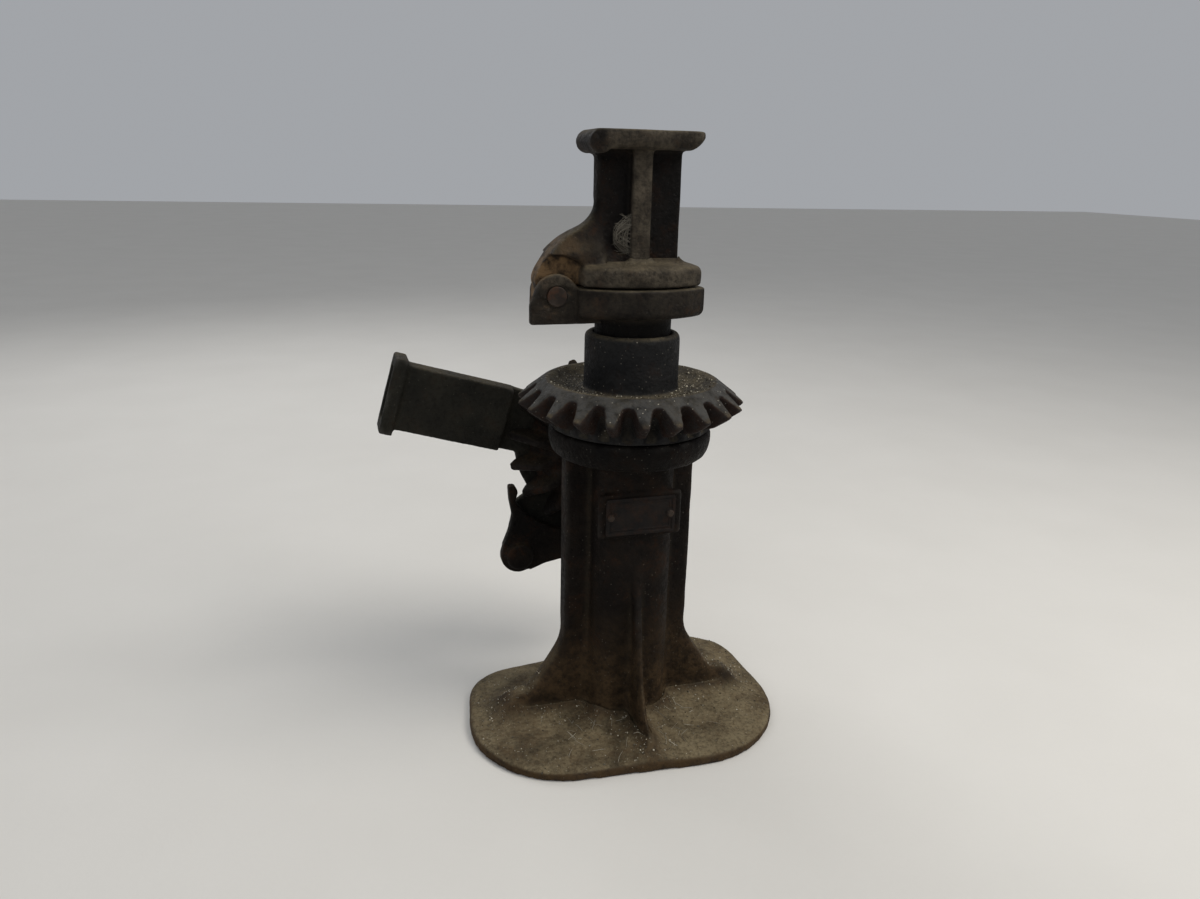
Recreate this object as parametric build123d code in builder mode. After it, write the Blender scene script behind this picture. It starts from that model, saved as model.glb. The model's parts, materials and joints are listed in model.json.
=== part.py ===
from build123d import *
import os
from math import atan, cos, radians, sin

# Bevel-gear ratchet screw jack with a fold-over extension head.
# Millimetres, +Z up. The origin is where the lift axis meets the underside of the base.
# -Y is the front, with the name plate. The ratchet wheel and its lever are behind, on +Y.

# ---- driving dimensions ----

BASE_CORNERS = ((-90, -54), (84, -64), (78, 63), (-76, 43))
BASE_CORNER_RADII = (50, 54, 32, 30)
BASE_THICKNESS = 5.5
BASE_CROWN = 2.2
BARREL_WIDTH = 41.0
WING_HALF_SPAN = 33.1
WING_THICKNESS = 12.4
FOOT_HALF_SPAN = 73.4
RIB_THICKNESS = 4.0
FRONT_RIB_REACH = 56.0
BACK_RIB_REACH = 45.5

COLLAR_R = 40.0
COLLAR_BOTTOM = 146.2
COLLAR_TOP = 159.8
CUP_R = 30.7
CUP_FLOOR = 150.5
SCREW_BORE_R = 16.2
BORE_FLOOR = 7.0
KEYWAY_R = 18.6
KEYWAY_WIDTH = 6.6

PLATE_HALF_WIDTH = 21.4
PLATE_MARGIN = 2.4
PLATE_BOTTOM = 108.5
PLATE_TOP = 131.3
PLATE_FACE = 23.0
PLATE_THICKNESS = 1.0
RIVET_R = 1.8

CROWN_TEETH = 22
WHEEL_TEETH = 17
CROWN_PITCH_R = 53.065
CROWN_PITCH_Z = 174.098
WHEEL_ADDENDUM = 4.8
CROWN_ROOT_DEPTH = 8.9
WHEEL_ROOT_DEPTH = 6.0
CROWN_TIP_R = 56.0
CROWN_TIP_Z = 172.8
CROWN_RIM_R = 42.1
CROWN_RIM_Z = 183.3
CROWN_TOE_R = 46.5
CROWN_HUB_R = 39.6
CROWN_HUB_TOP = 164.4
CROWN_UNDERSIDE = 160.2
CROWN_TURN = -2.7
SLEEVE_R = 22.9
SLEEVE_TOP = 206.3
NUT_R = 15.08
SPIGOT_R = 19.9

RACE_IN_R = 20.0
RACE_OUT_R = 30.6
RACE_THICKNESS = 3.0
BALL_R = 3.175
BALL_CIRCLE_R = 25.3
BALL_COUNT = 20
BALL_GAP = 0.02

SCREW_R = 15.0
SCREW_ROOT_R = 12.6
SCREW_LEAD = 8.0
SCREW_FOOT = 20.0
SCREW_SHOULDER = 201.0
TENON_R = 12.5
TENON_TOP = 222.0

STUD_R = 8.0
STUD_THREAD_R = 6.0
STUD_FRONT = 19.0
STUD_END = 91.0
COTTER_Y = 88.4
COTTER_R = 1.2
BOSS_R = 14.5
BOSS_FACE = 38.5
WHEEL_FRONT = 40.0
WHEEL_TOE = 41.4
WHEEL_BACK = 60.0
WHEEL_REACH = 1.13

LEVER_ANGLE = 15.6
LEVER_FRONT = 60.3
LEVER_HUB_R = 17.0
LEVER_HUB_BACK = 76.0
LEVER_DISC_R = 45.5
LEVER_DISC_THICKNESS = 4.0
GUARD_R = 57.5
GUARD_HALF_ANGLE = 51
SOCKET_START = 53.5
SOCKET_END = 118.0
SOCKET_HEIGHT = 35.0
SOCKET_FRONT = 54.4
SOCKET_DEPTH = 14.0
SOCKET_OFFSET = 1.6
SLOT_HEIGHT = 28.5
SLOT_WIDTH = 9.0
SLOT_LENGTH = 56.0
BEAD_LENGTH = 7.0
BEAD_STEP = 3.1

PAWL_DROP = 59.1
PAWL_FRONT = 52.0
PAWL_THICKNESS = 6.0
PAWL_PIN_R = 3.0
PIVOT_BOSS_R = 6.5
LOBE_R = 10.4
LOBE_SIDE = 41.0
LOBE_DROP = 64.9
THUMB_R = 7.5

NECK_R = 18.3
SADDLE_HALF_WIDTH = 30.7
SADDLE_END_DEPTH = 13.5
SADDLE_MID_DEPTH = 24.5
SADDLE_BOTTOM = 214.6
SADDLE_TOP = 228.2
HINGE_X = -39.8
HINGE_Z = 224.5
HINGE_PIN_R = 4.6
EAR_IN = 6.3
EAR_OUT = 10.8
FRONT_EAR = (10.0, 52.0)
REAR_EAR = (8.4, 48.2)
EAR_FOOT = 211.8
LUG_R = 8.8

HEAD_BOTTOM = 228.8
FLANGE_HALF_WIDTH = 29.0
FLANGE_END_DEPTH = 13.5
FLANGE_MID_DEPTH = 23.0
FLANGE_TOP = 238.0
POST_HALF_WIDTH = 20.1
POST_HALF_THICKNESS = 4.2
CAP_BOTTOM = 288.4
TOP_Z = 296.7
CAP_LEFT = -23.2
CAP_RIGHT = 27.8
CAP_HALF_WIDTH = 14.3
ROLL_X = -21.0
ROLL_R = 5.2

FIT = 0.05

os.makedirs("parts", exist_ok=True)


# ---- gear geometry worked out from the driving dimensions ----

SLOPE = atan(WHEEL_TEETH / CROWN_TEETH)
CONE_LENGTH = CROWN_PITCH_R / cos(SLOPE)
APEX_Z = CROWN_PITCH_Z - CONE_LENGTH * sin(SLOPE)
WHEEL_TURN = -CROWN_TURN * CROWN_TEETH / WHEEL_TEETH
FACE_RISE = (CROWN_TIP_Z - APEX_Z) / CROWN_TIP_R
WHEEL_TIP_R = WHEEL_REACH * (CONE_LENGTH * sin(SLOPE) + WHEEL_ADDENDUM * cos(SLOPE))
WHEEL_TIP_Y = WHEEL_REACH * (CONE_LENGTH * cos(SLOPE) - WHEEL_ADDENDUM * sin(SLOPE))
WHEEL_FACE_RISE = WHEEL_TIP_R / WHEEL_TIP_Y
CROWN_GAP = ((-CROWN_ROOT_DEPTH, 2.0), (8.0, 7.8))
WHEEL_GAP = ((WHEEL_ROOT_DEPTH, 2.5), (-7.8, 7.4))


def cone_plane(distance):
    """Plane square to the shared pitch line, this far from the cones' common apex."""
    origin = (0, distance * cos(SLOPE), APEX_Z + distance * sin(SLOPE))
    return Plane(origin=origin, x_dir=(1, 0, 0), z_dir=(0, cos(SLOPE), sin(SLOPE)))


def tooth_gap(corners, near, far):
    """Tapered cutter for one tooth gap, between two distances from the apex."""
    (low, low_half), (high, high_half) = corners
    with BuildPart() as gap:
        for distance in (near, far):
            k = distance / CONE_LENGTH
            with BuildSketch(cone_plane(distance)):
                with BuildLine():
                    Polyline(
                        (-low_half * k, low * k),
                        (low_half * k, low * k),
                        (high_half * k, high * k),
                        (-high_half * k, high * k),
                        close=True,
                    )
                make_face()
        loft()
    return gap.part


def rear_plane(y, turn=0.0, z=0.0):
    """Plane facing +Y at this y. Its x runs along -X, and both axes tilt up by turn degrees."""
    t = radians(turn)
    return Plane(origin=(0, y, z), x_dir=(-cos(t), 0, sin(t)), z_dir=(0, 1, 0))


def ring(bottom, thickness, outer, inner):
    """Plain washer or race on the lift axis."""
    with BuildPart() as washer:
        with BuildSketch(Plane.XY.offset(bottom)):
            Circle(outer)
            Circle(inner, mode=Mode.SUBTRACT)
        extrude(amount=thickness)
        chamfer(washer.edges(), 0.3)
    return washer.part


def rear_ring(y, thickness, outer, inner):
    """Plain washer on the wheel's shaft axis."""
    with BuildPart() as washer:
        with BuildSketch(rear_plane(y, z=APEX_Z)):
            Circle(outer)
            Circle(inner, mode=Mode.SUBTRACT)
        extrude(amount=thickness)
        chamfer(washer.edges(), 0.3)
    return washer.part


def lens_outline(half_width, end_depth, mid_depth):
    """Outline with bowed front and back edges and straight ends."""
    front = ThreePointArc((-half_width, -end_depth), (0, -mid_depth), (half_width, -end_depth))
    back = ThreePointArc((half_width, end_depth), (0, mid_depth), (-half_width, end_depth))
    Line(front @ 1, back @ 0)
    Line(back @ 1, front @ 0)


# ---- stand: base, column, collar and stud boss in one casting ----

with BuildPart() as stand:
    # base plate, wider on the right
    with BuildSketch():
        with BuildLine():
            FilletPolyline(*BASE_CORNERS, radius=BASE_CORNER_RADII, close=True)
        make_face()
    extrude(amount=BASE_THICKNESS)
    fillet(stand.edges().group_by(Axis.Z)[-1], 2.4)
    # low crown of the plate
    with BuildSketch(Plane.XY.offset(BASE_THICKNESS - 0.4)):
        with BuildLine():
            FilletPolyline(*BASE_CORNERS, radius=BASE_CORNER_RADII, close=True)
        make_face()
        offset(amount=-8, mode=Mode.REPLACE)
    extrude(amount=BASE_CROWN, taper=72)
    # side wings flare into the feet
    with BuildSketch(Plane.XZ.offset(-WING_THICKNESS / 2)):
        with BuildLine():
            wing_top = Line((0, COLLAR_BOTTOM + 2), (WING_HALF_SPAN, COLLAR_BOTTOM + 2))
            wing_side = Line(wing_top @ 1, (WING_HALF_SPAN, 52))
            flare = Spline(
                wing_side @ 1,
                (39.6, 36.0),
                (49.5, 21.5),
                (60.5, 11.0),
                (FOOT_HALF_SPAN, BASE_THICKNESS),
                tangents=[(0, -1), (1, -0.25)],
            )
            foot = Line(flare @ 1, (FOOT_HALF_SPAN, 2))
            floor_line = Line(foot @ 1, (0, 2))
            mirror(about=Plane.YZ)
        make_face()
    extrude(amount=WING_THICKNESS)
    # central barrel
    with BuildSketch():
        RectangleRounded(BARREL_WIDTH, BARREL_WIDTH, 12)
    extrude(amount=COLLAR_BOTTOM + 2)
    # thin front and back ribs
    with BuildSketch(Plane.YZ.offset(-RIB_THICKNESS / 2)):
        for side, reach in ((-1, FRONT_RIB_REACH), (1, BACK_RIB_REACH)):
            spread = side * (reach - 20) / 36
            with BuildLine():
                rib_top = Line((0, 98), (side * 20, 98))
                rib_curve = Spline(
                    rib_top @ 1,
                    (side * 20 + 3.6 * spread, 76.0),
                    (side * 20 + 8.6 * spread, 54.0),
                    (side * 20 + 13.8 * spread, 38.0),
                    (side * 20 + 22.6 * spread, 19.0),
                    (side * reach, BASE_THICKNESS - 1),
                    tangents=[(side * 0.1, -1), (side, -0.7)],
                )
                rib_foot = Line(rib_curve @ 1, (side * reach, 2))
                rib_floor = Line(rib_foot @ 1, (0, 2))
                Line(rib_floor @ 1, rib_top @ 0)
            make_face()
    extrude(amount=RIB_THICKNESS)
    # bearing collar with a rounded lower edge
    with BuildSketch(Plane.XZ):
        with BuildLine():
            Polyline(
                (0, COLLAR_BOTTOM),
                (COLLAR_R - 4.5, COLLAR_BOTTOM),
                (COLLAR_R - 1.4, COLLAR_BOTTOM + 2.4),
                (COLLAR_R, COLLAR_BOTTOM + 7.5),
                (COLLAR_R, COLLAR_TOP),
                (CUP_R, COLLAR_TOP),
                (CUP_R, CUP_FLOOR),
                (0, CUP_FLOOR),
                close=True,
            )
        make_face()
    revolve(axis=Axis.Z)
    # raised panel for the name plate
    with BuildSketch(Plane.XZ.offset(BARREL_WIDTH / 2 - 2)):
        with Locations((0, (PLATE_BOTTOM + PLATE_TOP) / 2)):
            Rectangle(2 * PLATE_HALF_WIDTH, PLATE_TOP - PLATE_BOTTOM)
    extrude(amount=PLATE_FACE - PLATE_THICKNESS - BARREL_WIDTH / 2 + 2)
    # boss for the wheel's stud
    with BuildSketch(rear_plane(BARREL_WIDTH / 2 - 6, z=APEX_Z)):
        Circle(BOSS_R)
    extrude(amount=BOSS_FACE - BARREL_WIDTH / 2 + 6)
    # bores
    with BuildSketch(Plane.XY.offset(BORE_FLOOR)):
        Circle(SCREW_BORE_R)
        Rectangle(2 * KEYWAY_R, KEYWAY_WIDTH)
    extrude(amount=COLLAR_TOP, mode=Mode.SUBTRACT)
    with BuildSketch(rear_plane(STUD_FRONT, z=APEX_Z)):
        Circle(STUD_R)
    extrude(amount=BOSS_FACE, mode=Mode.SUBTRACT)
stand.part.label = "stand"
export_step(stand.part, "parts/stand.step")


# ---- name plate and its rivets ----

PLATE_MID = (PLATE_BOTTOM + PLATE_TOP) / 2
PLATE_LENGTH = 2 * (PLATE_HALF_WIDTH - 1.6 * PLATE_MARGIN)
PLATE_HEIGHT = PLATE_TOP - PLATE_BOTTOM - 1.6 * PLATE_MARGIN
RIVET_SPOTS = [(side * (PLATE_LENGTH / 2 - PLATE_MARGIN), PLATE_MID) for side in (-1, 1)]

with BuildPart() as name_plate:
    with BuildSketch(Plane.XZ.offset(PLATE_FACE - PLATE_THICKNESS)):
        with Locations((0, PLATE_MID)):
            RectangleRounded(PLATE_LENGTH, PLATE_HEIGHT, 1.2)
        with Locations(*RIVET_SPOTS):
            Circle(RIVET_R / 2 + FIT, mode=Mode.SUBTRACT)
    extrude(amount=PLATE_THICKNESS)
name_plate.part.label = "name_plate"
export_step(name_plate.part, "parts/name_plate.step")

with BuildPart() as plate_rivets:
    for spot in RIVET_SPOTS:
        with BuildSketch(Plane.XZ.offset(PLATE_FACE - PLATE_THICKNESS)):
            with Locations(spot):
                Circle(RIVET_R / 2)
        extrude(amount=PLATE_THICKNESS)
        with BuildSketch(Plane.XZ.offset(PLATE_FACE)):
            with Locations(spot):
                Circle(RIVET_R)
        extrude(amount=0.8, taper=30)
plate_rivets.part.label = "plate_rivets"
export_step(plate_rivets.part, "parts/plate_rivets.step")


# ---- ball bearing under the crown gear ----

lower_race = ring(CUP_FLOOR, RACE_THICKNESS, RACE_OUT_R, RACE_IN_R)
lower_race.label = "lower_race"
export_step(lower_race, "parts/lower_race.step")

BALL_Z = CUP_FLOOR + RACE_THICKNESS + BALL_R + BALL_GAP
with BuildPart() as bearing_balls:
    with PolarLocations(BALL_CIRCLE_R, BALL_COUNT):
        with Locations((0, 0, BALL_Z)):
            Sphere(BALL_R)
bearing_balls.part.label = "bearing_balls"
export_step(bearing_balls.part, "parts/bearing_balls.step")

UPPER_RACE_Z = BALL_Z + BALL_R + BALL_GAP
upper_race = ring(UPPER_RACE_Z, RACE_THICKNESS, RACE_OUT_R, RACE_IN_R)
upper_race.label = "upper_race"
export_step(upper_race, "parts/upper_race.step")


# ---- crown gear with its hub sleeve ----

crown_gap = tooth_gap(CROWN_GAP, 48.0, CONE_LENGTH * 1.25)
RACE_SEAT_Z = UPPER_RACE_Z + RACE_THICKNESS

with BuildPart() as crown_gear:
    with BuildSketch(Plane.XZ):
        with BuildLine():
            Polyline(
                (NUT_R, CUP_FLOOR + 0.7),
                (SPIGOT_R, CUP_FLOOR + 0.7),
                (SPIGOT_R, RACE_SEAT_Z),
                (RACE_OUT_R + FIT, RACE_SEAT_Z),
                (RACE_OUT_R + FIT, CROWN_UNDERSIDE),
                (CROWN_HUB_R, CROWN_UNDERSIDE),
                (CROWN_HUB_R, CROWN_HUB_TOP),
                (CROWN_TOE_R, APEX_Z + FACE_RISE * CROWN_TOE_R),
                (CROWN_TIP_R, CROWN_TIP_Z),
                (CROWN_RIM_R, CROWN_RIM_Z),
                (CROWN_RIM_R - 2.4, CROWN_RIM_Z),
                (34.0, 180.0),
                (27.0, 178.6),
                (SLEEVE_R, 179.4),
                (SLEEVE_R, SLEEVE_TOP),
                (NECK_R + 0.4, SLEEVE_TOP),
                (NECK_R + 0.4, SCREW_SHOULDER - 2),
                (NUT_R, SCREW_SHOULDER - 2),
                close=True,
            )
        make_face()
    revolve(axis=Axis.Z)
    fillet(crown_gear.edges().group_by(Axis.Z)[-1].sort_by(SortBy.LENGTH)[-1], 2.6)
    with PolarLocations(0, CROWN_TEETH, start_angle=CROWN_TURN):
        add(crown_gap, mode=Mode.SUBTRACT)
crown_gear.part.label = "crown_gear"
export_step(crown_gear.part, "parts/crown_gear.step")


# ---- lift screw, its guide washer and bolt ----

THREAD_COUNT = int((SCREW_SHOULDER - SCREW_FOOT - 12) / SCREW_LEAD)
GROOVE = SCREW_LEAD / 2
FLANK = 0.35
THREAD_START = SCREW_FOOT + 6
BOLT_R = 4.0
BOLT_LENGTH = 18.0
GUIDE_THICKNESS = 4.0
PIN_Z = (SADDLE_BOTTOM + SADDLE_TOP) / 2 - 2.5
PIN_R = 3.0
PIN_START = -11.0

with BuildPart() as lift_screw:
    with BuildSketch(Plane.XZ):
        with BuildLine():
            outline = [(0, SCREW_FOOT), (SCREW_ROOT_R, SCREW_FOOT)]
            for n in range(THREAD_COUNT):
                z = THREAD_START + n * SCREW_LEAD
                outline.append((SCREW_ROOT_R, z))
                outline.append((SCREW_R, z + FLANK))
                outline.append((SCREW_R, z + GROOVE))
                outline.append((SCREW_ROOT_R, z + GROOVE + FLANK))
            outline.append((SCREW_ROOT_R, SCREW_SHOULDER - 6))
            outline.append((SCREW_R, SCREW_SHOULDER - 6 + FLANK))
            outline.append((SCREW_R, SCREW_SHOULDER))
            outline.append((TENON_R, SCREW_SHOULDER))
            outline.append((TENON_R, TENON_TOP))
            outline.append((0, TENON_TOP))
            Polyline(*outline, close=True)
        make_face()
    revolve(axis=Axis.Z)
    with BuildSketch(Plane.XY.offset(SCREW_FOOT)):
        Circle(BOLT_R)
    extrude(amount=BOLT_LENGTH, mode=Mode.SUBTRACT)
    with BuildSketch(Plane.YZ.offset(PIN_START)):
        with Locations((0, PIN_Z)):
            Circle(PIN_R)
    extrude(amount=30, mode=Mode.SUBTRACT)
lift_screw.part.label = "lift_screw"
export_step(lift_screw.part, "parts/lift_screw.step")

with BuildPart() as guide_washer:
    with BuildSketch(Plane.XY.offset(SCREW_FOOT - GUIDE_THICKNESS)):
        Circle(SCREW_BORE_R - 0.4)
        Rectangle(2 * KEYWAY_R - 0.6, KEYWAY_WIDTH - 0.4)
        Circle(BOLT_R + FIT, mode=Mode.SUBTRACT)
    extrude(amount=GUIDE_THICKNESS)
guide_washer.part.label = "guide_washer"
export_step(guide_washer.part, "parts/guide_washer.step")

with BuildPart() as guide_bolt:
    with BuildSketch(Plane.XY.offset(SCREW_FOOT - GUIDE_THICKNESS)):
        RegularPolygon(7.0, 6, major_radius=False)
    extrude(amount=-5)
    chamfer(guide_bolt.edges().group_by(Axis.Z)[0], 0.6)
    with BuildSketch(Plane.XY.offset(SCREW_FOOT - GUIDE_THICKNESS)):
        Circle(BOLT_R)
    extrude(amount=GUIDE_THICKNESS + BOLT_LENGTH - 1)
guide_bolt.part.label = "guide_bolt"
export_step(guide_bolt.part, "parts/guide_bolt.step")


# ---- saddle on the screw's tenon ----

with BuildPart() as saddle:
    with BuildSketch(Plane.XY.offset(SADDLE_BOTTOM)):
        with BuildLine():
            lens_outline(SADDLE_HALF_WIDTH, SADDLE_END_DEPTH, SADDLE_MID_DEPTH)
        make_face()
    extrude(amount=SADDLE_TOP - SADDLE_BOTTOM)
    fillet(saddle.edges().filter_by(Axis.Z), 3.0)
    fillet(saddle.edges().group_by(Axis.Z)[0], 3.6)
    with BuildSketch(Plane.XY.offset(SCREW_SHOULDER)):
        Circle(NECK_R)
    extrude(amount=SADDLE_TOP - SCREW_SHOULDER - 1)
    # clevis ears on the left
    for y, (ear_r, ear_reach) in ((EAR_IN, REAR_EAR), (-EAR_OUT, FRONT_EAR)):
        with BuildSketch(rear_plane(y)):
            with BuildLine():
                ear_arc = CenterArc((-HINGE_X, HINGE_Z), ear_r, 15, 130)
                Polyline(
                    ear_arc @ 1,
                    (28, SADDLE_TOP - 2),
                    (18, EAR_FOOT),
                    (ear_reach, EAR_FOOT),
                    (ear_reach, EAR_FOOT + 9),
                    ear_arc @ 0,
                )
            make_face()
        extrude(amount=EAR_OUT - EAR_IN)
    # gap for the head's lug
    with BuildSketch(rear_plane(-EAR_IN)):
        with Locations((-HINGE_X, HINGE_Z)):
            Circle(LUG_R + 0.3)
        with Locations((46, 212)):
            Rectangle(30, 40)
    extrude(amount=2 * EAR_IN, mode=Mode.SUBTRACT)
    with BuildSketch(rear_plane(-EAR_OUT)):
        with Locations((-HINGE_X, HINGE_Z)):
            Circle(HINGE_PIN_R)
    extrude(amount=2 * EAR_OUT, mode=Mode.SUBTRACT)
    # tenon socket and cross-pin hole
    with BuildSketch(Plane.XY.offset(SCREW_SHOULDER)):
        Circle(TENON_R + 0.02)
    extrude(amount=TENON_TOP - SCREW_SHOULDER, mode=Mode.SUBTRACT)
    with BuildSketch(Plane.YZ):
        with Locations((0, PIN_Z)):
            Circle(PIN_R)
    extrude(amount=SADDLE_HALF_WIDTH + 5, mode=Mode.SUBTRACT)
saddle.part.label = "saddle"
export_step(saddle.part, "parts/saddle.step")

with BuildPart() as saddle_pin:
    with BuildSketch(Plane.YZ.offset(PIN_START)):
        with Locations((0, PIN_Z)):
            Circle(PIN_R)
    extrude(amount=SADDLE_HALF_WIDTH - PIN_START - 0.8)
saddle_pin.part.label = "saddle_pin"
export_step(saddle_pin.part, "parts/saddle_pin.step")

with BuildPart() as hinge_pin:
    with BuildSketch(rear_plane(-EAR_OUT - 0.5)):
        with Locations((-HINGE_X, HINGE_Z)):
            Circle(HINGE_PIN_R)
    extrude(amount=2 * EAR_OUT + 1)
    fillet(hinge_pin.edges().filter_by(GeomType.CIRCLE), 0.45)
hinge_pin.part.label = "hinge_pin"
export_step(hinge_pin.part, "parts/hinge_pin.step")


# ---- extension head ----

LUG_HALF = EAR_IN - 0.3
RECESS_R = 18.4
HEEL_HALF = 10.6
HEEL_INNER = 17.0
HEEL_SPREAD_Z = 243.0
POST_RIB_WIDTH = 9.4
POST_RIB_DEPTH = 16.4


def heel_outline(inner):
    """Side outline of the head's heel, from this far left of the lift axis to its flared back."""
    Polyline((inner, 269), (inner, HEAD_BOTTOM), (31.6, HEAD_BOTTOM), (48.0, 228.0))
    Spline(
        (48.0, 228.0),
        (48.6, 232.5),
        (46.6, 237.0),
        (43.1, 242.3),
        (38.6, 247.4),
        (33.2, 251.5),
        (26.2, 255.5),
        (22.4, 259.6),
        (POST_HALF_WIDTH, 269),
    )
    Line((POST_HALF_WIDTH, 269), (inner, 269))


# flange that sits on the saddle
with BuildPart() as flange:
    with BuildSketch(Plane.XY.offset(HEAD_BOTTOM)):
        with BuildLine():
            lens_outline(FLANGE_HALF_WIDTH, FLANGE_END_DEPTH, FLANGE_MID_DEPTH)
        make_face()
    extrude(amount=FLANGE_TOP - HEAD_BOTTOM)
    fillet(flange.edges().filter_by(Axis.Z), 5.0)
    fillet(flange.edges().group_by(Axis.Z)[-1], 3.0)
    fillet(flange.edges().group_by(Axis.Z)[0], 0.8)

# load cap with rounded lower edges
with BuildPart() as cap:
    with BuildSketch(Plane.XY.offset(CAP_BOTTOM)):
        with Locations(((CAP_LEFT + CAP_RIGHT) / 2, 0)):
            RectangleRounded(CAP_RIGHT - CAP_LEFT, 2 * CAP_HALF_WIDTH, 4)
    extrude(amount=TOP_Z - CAP_BOTTOM)
    fillet(cap.edges().group_by(Axis.Z)[0], 3.6)

with BuildPart() as extension_head:
    # heel, cut back in an arc that clears the ears, and thinner as it rises along the post
    with BuildSketch(rear_plane(-HEEL_HALF)):
        with BuildLine():
            heel_outline(HEEL_INNER)
        make_face()
        with Locations((-HINGE_X, HINGE_Z)):
            Circle(RECESS_R, mode=Mode.SUBTRACT)
    extrude(amount=2 * HEEL_HALF)
    with BuildSketch(Plane.YZ.offset(-70)):
        with BuildLine():
            Line((0, HEAD_BOTTOM), (HEEL_HALF, HEAD_BOTTOM))
            Line((HEEL_HALF, HEAD_BOTTOM), (HEEL_HALF, HEEL_SPREAD_Z))
            Spline((HEEL_HALF, HEEL_SPREAD_Z), (7.6, 249), (5.2, 257), (POST_HALF_THICKNESS, 265))
            Line((POST_HALF_THICKNESS, 265), (0, 265))
            mirror(about=Plane.YZ)
        make_face()
    extrude(amount=70, mode=Mode.INTERSECT)
    # thinner lug between the ears
    with BuildSketch(rear_plane(-LUG_HALF)):
        with BuildLine():
            heel_outline(4)
        make_face()
        with Locations((0, HEEL_SPREAD_Z)):
            Rectangle(120, 60, align=(Align.CENTER, Align.MIN), mode=Mode.SUBTRACT)
        with Locations((-HINGE_X, HINGE_Z)):
            Circle(LUG_R)
    extrude(amount=2 * LUG_HALF)
    # side web of the post, down to the heel
    with BuildSketch(rear_plane(-POST_HALF_THICKNESS)):
        with BuildLine():
            heel_outline(4)
        make_face()
        with Locations((-HINGE_X, HINGE_Z)):
            Circle(RECESS_R, mode=Mode.SUBTRACT)
    extrude(amount=2 * POST_HALF_THICKNESS)
    add(flange.part)
    # cross-shaped post
    with BuildSketch(Plane.XY.offset(HEAD_BOTTOM)):
        Rectangle(2 * POST_HALF_WIDTH, 2 * POST_HALF_THICKNESS)
        Rectangle(POST_RIB_WIDTH, POST_RIB_DEPTH)
    extrude(amount=TOP_Z - HEAD_BOTTOM - 2)
    add(cap.part)
    # rolled left end of the cap
    with BuildSketch(rear_plane(-CAP_HALF_WIDTH + 1)):
        with Locations((-ROLL_X, TOP_Z - ROLL_R)):
            Circle(ROLL_R)
    extrude(amount=2 * CAP_HALF_WIDTH - 2)
    with BuildSketch(rear_plane(-LUG_HALF - 1)):
        with Locations((-HINGE_X, HINGE_Z)):
            Circle(HINGE_PIN_R + FIT)
    extrude(amount=2 * LUG_HALF + 2, mode=Mode.SUBTRACT)
extension_head.part.label = "extension_head"
export_step(extension_head.part, "parts/extension_head.step")


# ---- wheel shaft: stud, washers, nut and cotter pin ----

STUD_STEP = LEVER_HUB_BACK + 0.1
WASHER_THICKNESS = 2.0

with BuildPart() as pinion_stud:
    with BuildSketch(rear_plane(STUD_FRONT, z=APEX_Z)):
        Circle(STUD_R)
    extrude(amount=STUD_STEP - STUD_FRONT)
    with BuildSketch(rear_plane(STUD_STEP, z=APEX_Z)):
        Circle(STUD_THREAD_R)
    extrude(amount=STUD_END - STUD_STEP)
    chamfer(pinion_stud.edges().group_by(Axis.Y)[-1], 1.0)
    with BuildSketch(Plane.YZ.offset(-STUD_R)):
        with Locations((COTTER_Y, APEX_Z)):
            Circle(COTTER_R + FIT)
    extrude(amount=2 * STUD_R, mode=Mode.SUBTRACT)
pinion_stud.part.label = "pinion_stud"
export_step(pinion_stud.part, "parts/pinion_stud.step")

thrust_washer = rear_ring(BOSS_FACE, WHEEL_FRONT - BOSS_FACE - FIT, 14.0, STUD_R + FIT)
thrust_washer.label = "thrust_washer"
export_step(thrust_washer, "parts/thrust_washer.step")

stud_washer = rear_ring(STUD_STEP, WASHER_THICKNESS, 14.0, STUD_THREAD_R + FIT)
stud_washer.label = "stud_washer"
export_step(stud_washer, "parts/stud_washer.step")

with BuildPart() as stud_nut:
    with BuildSketch(rear_plane(STUD_STEP + WASHER_THICKNESS, z=APEX_Z)):
        RegularPolygon(9.5, 6, major_radius=False)
        Circle(STUD_THREAD_R, mode=Mode.SUBTRACT)
    extrude(amount=8)
    chamfer(stud_nut.edges().filter_by(GeomType.LINE).group_by(Axis.Y)[-1], 0.8)
stud_nut.part.label = "stud_nut"
export_step(stud_nut.part, "parts/stud_nut.step")

with BuildPart() as stud_cotter:
    with BuildSketch(Plane.YZ.offset(-10)):
        with Locations((COTTER_Y, APEX_Z)):
            Circle(COTTER_R)
    extrude(amount=19)
    # its eye
    with BuildSketch(Plane.XY.offset(APEX_Z - 0.9)):
        with Locations((-11.4, COTTER_Y)):
            Circle(2.6)
            Circle(1.1, mode=Mode.SUBTRACT)
    extrude(amount=1.8)
stud_cotter.part.label = "stud_cotter"
export_step(stud_cotter.part, "parts/stud_cotter.step")


# ---- bevel wheel ----

wheel_gap = tooth_gap(WHEEL_GAP, 48.0, CONE_LENGTH * 1.3)
WHEEL_AXIS = Axis((0, 0, APEX_Z), (0, 1, 0))
WHEEL_RIM_BACK = WHEEL_BACK - 0.5
BACK_CONE_R = WHEEL_TIP_R - (WHEEL_RIM_BACK - WHEEL_TIP_Y) / (sin(SLOPE) / cos(SLOPE))

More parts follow.
